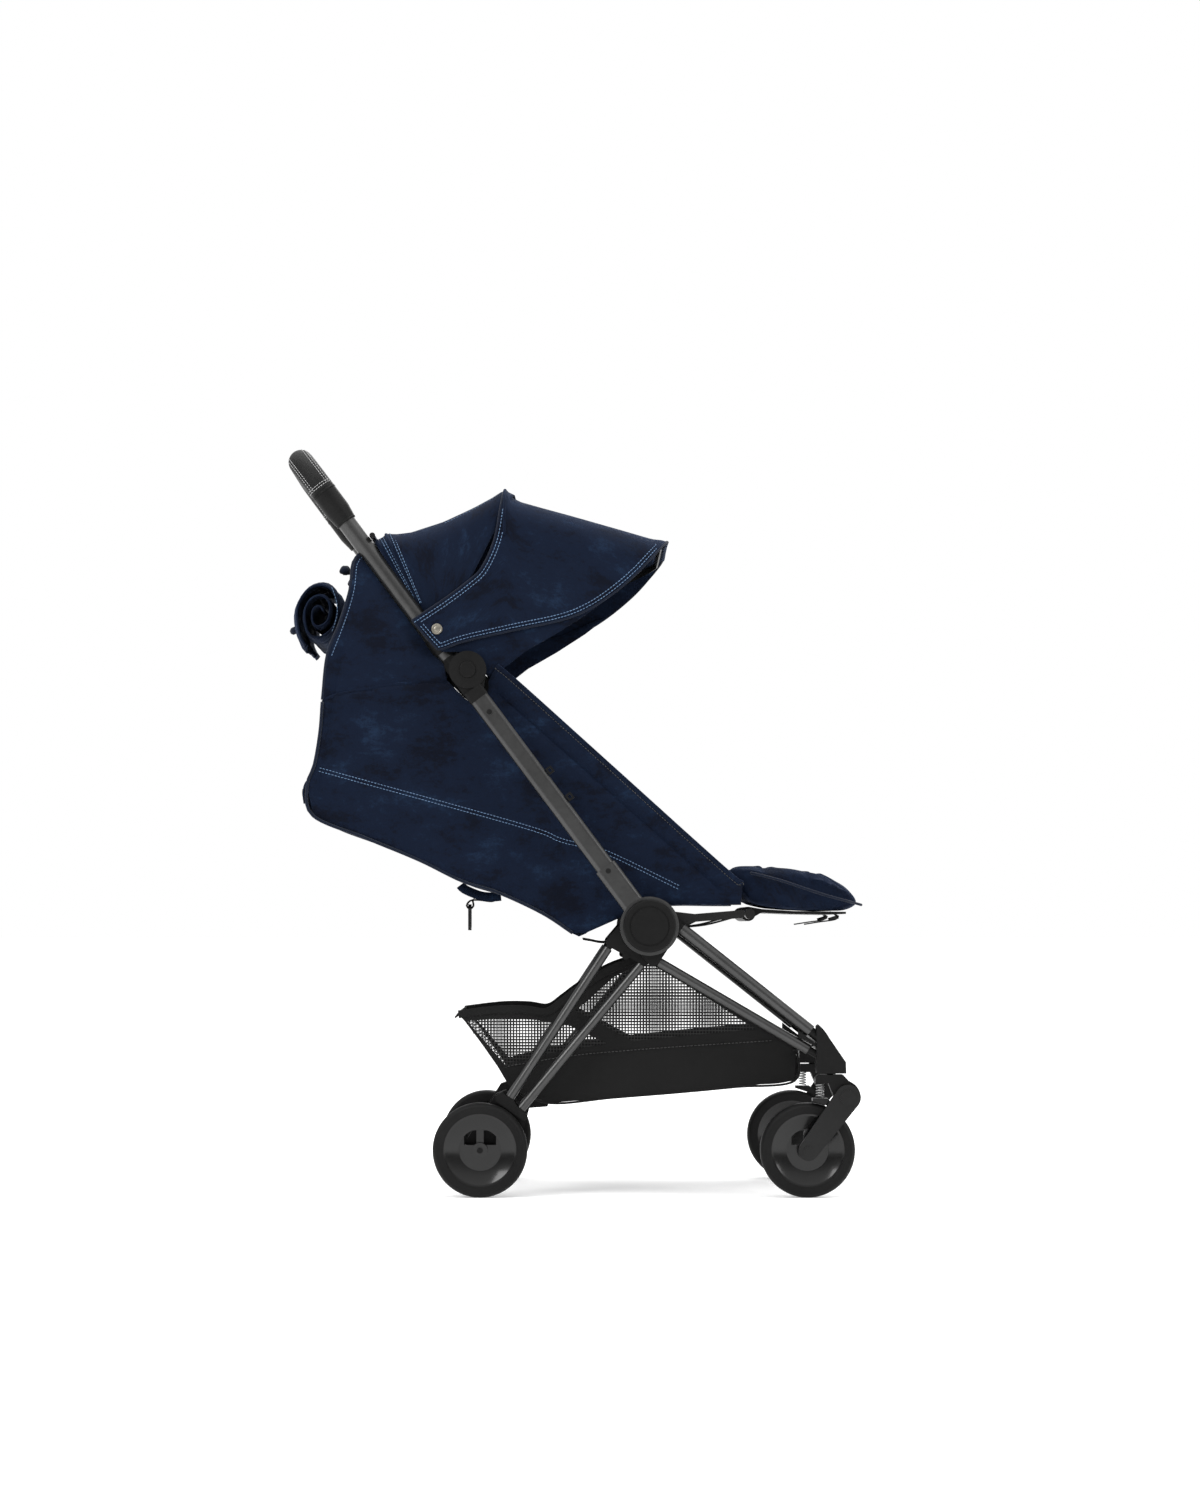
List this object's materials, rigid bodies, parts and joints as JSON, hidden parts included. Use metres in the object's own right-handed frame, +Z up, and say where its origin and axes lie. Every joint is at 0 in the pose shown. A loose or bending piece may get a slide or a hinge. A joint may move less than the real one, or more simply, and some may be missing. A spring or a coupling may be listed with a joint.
{
  "type": "baby stroller",
  "caption": "Compact folding pushchair: reclined denim seat with canopy and legrest, double-tube legs on a central hinge, swivel front casters and a mesh basket.",
  "frame": {"origin": "on the floor, at the middle of the whole stroller's length and width", "axes": "+X the way it rolls, +Z up, +Y to the rider's left"},
  "size_m": [0.805, 0.44, 1.0365],
  "materials": {
    "graphite_metal": "matte graphite powder coat",
    "black_metal": "satin black paint",
    "black_plastic": "fine moulded grain",
    "gloss_plastic": "polished moulding",
    "tyre": "smooth foamed tyre",
    "steel": "plated",
    "leather": "grained imitation leather",
    "denim": "mottled navy denim twill",
    "webbing": "woven webbing",
    "mesh": "black mesh with solid lower panel"
  },
  "bodies": {
    "front_legs": {"hub_axle": "black_metal", "front_tubes_right": "graphite_metal", "front_tubes_left": "graphite_metal", "front_hinge_plates": "black_plastic", "caster_carriers": "black_plastic", "front_cross_tube": "black_metal", "basket": "mesh"},
    "main_frame": {"frame_tubes": "graphite_metal", "frame_sleeves": "graphite_metal", "hub_covers": "black_plastic", "knob_sockets": "black_plastic", "frame_screws": "steel", "strap_hooks": "black_plastic", "seat_shell": "denim", "pull_strap": "webbing"},
    "pull_ring": {"d_ring": "black_plastic"},
    "rear_legs": {"rear_tubes_right": "graphite_metal", "rear_tubes_left": "graphite_metal", "rear_hinge_plates": "black_plastic", "rear_wheel_housings": "black_plastic", "rear_cross_tube": "black_metal"},
    "brake": {"brake_pedal": "black_plastic"},
    "handle": {"handle_bar": "graphite_metal", "grip": "leather", "grip_collars": "black_plastic", "knob_uppers": "black_plastic", "canopy_clips": "black_plastic", "rear_bow": "black_metal", "canopy_rear": "denim", "back_curtain": "denim", "roll_cover": "denim"},
    "mid_canopy": {"mid_bow": "black_metal"},
    "front_canopy": {"front_bow": "black_metal", "canopy_front": "denim"},
    "fold_button_right": {"fold_button_right": "black_plastic"},
    "fold_button_left": {"fold_button_left": "black_plastic"},
    "seat_base": {"seat_rails": "black_metal", "seat_cross_tube": "black_metal", "seat_cushion": "denim", "harness_buckle": "black_plastic"},
    "legrest": {"legrest_board": "black_plastic", "legrest_pad": "denim"},
    "backrest": {"back_board": "black_plastic", "back_cushion": "denim"},
    "rear_wheel_right": {"rear_tyre_right": "tyre", "rear_rim_right": "gloss_plastic"},
    "rear_wheel_left": {"rear_tyre_left": "tyre", "rear_rim_left": "gloss_plastic"},
    "front_wheel_right": {"front_tyre_right": "tyre", "front_rim_right": "gloss_plastic"},
    "front_wheel_left": {"front_tyre_left": "tyre", "front_rim_left": "gloss_plastic"},
    "caster_right": {"caster_fork_right": "black_plastic", "arm_spring_right": "steel"},
    "swing_arm_right": {"swing_arm_right": "graphite_metal"},
    "caster_left": {"caster_fork_left": "black_plastic", "arm_spring_left": "steel"},
    "swing_arm_left": {"swing_arm_left": "graphite_metal"}
  },
  "joints": [
    {"name": "frame_fold", "type": "hinge", "parent": "front_legs", "child": "main_frame", "pos_m": [0.099, 0, 0.372], "axis": [0, 1, 0], "range_deg": [0, 150], "deforming": ["basket", "seat_shell", "pull_strap"]},
    {"name": "rear_leg_fold", "type": "hinge", "parent": "front_legs", "child": "rear_legs", "pos_m": [0.099, 0, 0.372], "axis": [0, -1, 0], "range_deg": [0, 50.01]},
    {"name": "seat_fold", "type": "hinge", "parent": "main_frame", "child": "seat_base", "pos_m": [0.099, 0, 0.372], "axis": [0, -1, 0], "range_deg": [0, 120.01], "deforming": ["seat_cushion"]},
    {"name": "handle_fold", "type": "hinge", "parent": "main_frame", "child": "handle", "pos_m": [-0.14941, 0, 0.72192], "axis": [0, 1, 0], "range_deg": [0, 152], "deforming": ["canopy_rear", "back_curtain", "roll_cover"]},
    {"name": "canopy_fold", "type": "hinge", "parent": "handle", "child": "mid_canopy", "pos_m": [-0.19153, 0, 0.76035], "axis": [0, -1, 0], "range_deg": [0, 51]},
    {"name": "canopy_front_fold", "type": "hinge", "parent": "mid_canopy", "child": "front_canopy", "pos_m": [-0.19153, 0, 0.76035], "axis": [0, -1, 0], "range_deg": [0, 38.26], "deforming": ["canopy_front"]},
    {"name": "recline", "type": "hinge", "parent": "main_frame", "child": "backrest", "pos_m": [0.015, 0, 0.392], "axis": [0, 1, 0], "range_deg": [0, 40], "deforming": ["back_cushion"]},
    {"name": "legrest_tilt", "type": "hinge", "parent": "seat_base", "child": "legrest", "pos_m": [0.238, 0, 0.389], "axis": [0, -1, 0], "range_deg": [-65, 0], "deforming": ["legrest_pad"]},
    {"name": "brake_press", "type": "hinge", "parent": "rear_legs", "child": "brake", "pos_m": [-0.088, 0, 0.122], "axis": [0, 1, 0], "range_deg": [0, 15]},
    {"name": "ring_swing", "type": "hinge", "parent": "main_frame", "child": "pull_ring", "pos_m": [-0.1525, 0, 0.401], "axis": [0, 1, 0], "range_deg": [-35, 35], "deforming": ["d_ring"]},
    {"name": "fold_button_right_press", "type": "slide", "parent": "main_frame", "child": "fold_button_right", "axis": [0, 1, 0], "range_m": [0, 0.001], "stiffness_N_per_m": 600, "springref_m": -0.001},
    {"name": "fold_button_left_press", "type": "slide", "parent": "main_frame", "child": "fold_button_left", "axis": [0, -1, 0], "range_m": [0, 0.001], "stiffness_N_per_m": 600, "springref_m": -0.001},
    {"name": "caster_swivel_right", "type": "hinge", "parent": "front_legs", "child": "caster_right", "pos_m": [0.347, -0.189, 0.17], "axis": [0, 0, 1], "continuous": true},
    {"name": "suspension_right", "type": "hinge", "parent": "caster_right", "child": "swing_arm_right", "pos_m": [0.37, -0.21, 0.138], "axis": [0, 1, 0], "range_deg": [0, 7], "stiffness_Nm_per_rad": 14, "springref_deg": -11.46, "deforming": ["arm_spring_right"]},
    {"name": "front_wheel_spin_right", "type": "hinge", "parent": "swing_arm_right", "child": "front_wheel_right", "pos_m": [0.316, -0.189, 0.065], "axis": [0, 1, 0], "continuous": true},
    {"name": "rear_wheel_spin_right", "type": "hinge", "parent": "rear_legs", "child": "rear_wheel_right", "pos_m": [-0.133, -0.189, 0.065], "axis": [0, 1, 0], "continuous": true},
    {"name": "caster_swivel_left", "type": "hinge", "parent": "front_legs", "child": "caster_left", "pos_m": [0.347, 0.189, 0.17], "axis": [0, 0, 1], "continuous": true},
    {"name": "suspension_left", "type": "hinge", "parent": "caster_left", "child": "swing_arm_left", "pos_m": [0.37, 0.21, 0.138], "axis": [0, 1, 0], "range_deg": [0, 7], "stiffness_Nm_per_rad": 14, "springref_deg": -11.46, "deforming": ["arm_spring_left"]},
    {"name": "front_wheel_spin_left", "type": "hinge", "parent": "swing_arm_left", "child": "front_wheel_left", "pos_m": [0.316, 0.189, 0.065], "axis": [0, 1, 0], "continuous": true},
    {"name": "rear_wheel_spin_left", "type": "hinge", "parent": "rear_legs", "child": "rear_wheel_left", "pos_m": [-0.133, 0.189, 0.065], "axis": [0, 1, 0], "continuous": true}
  ],
  "couplings": [
    {"joint": "rear_leg_fold", "follows": "frame_fold", "ratio": 0.33333},
    {"joint": "seat_fold", "follows": "frame_fold", "ratio": 0.8},
    {"joint": "canopy_front_fold", "follows": "canopy_fold", "ratio": 0.75}
  ]
}
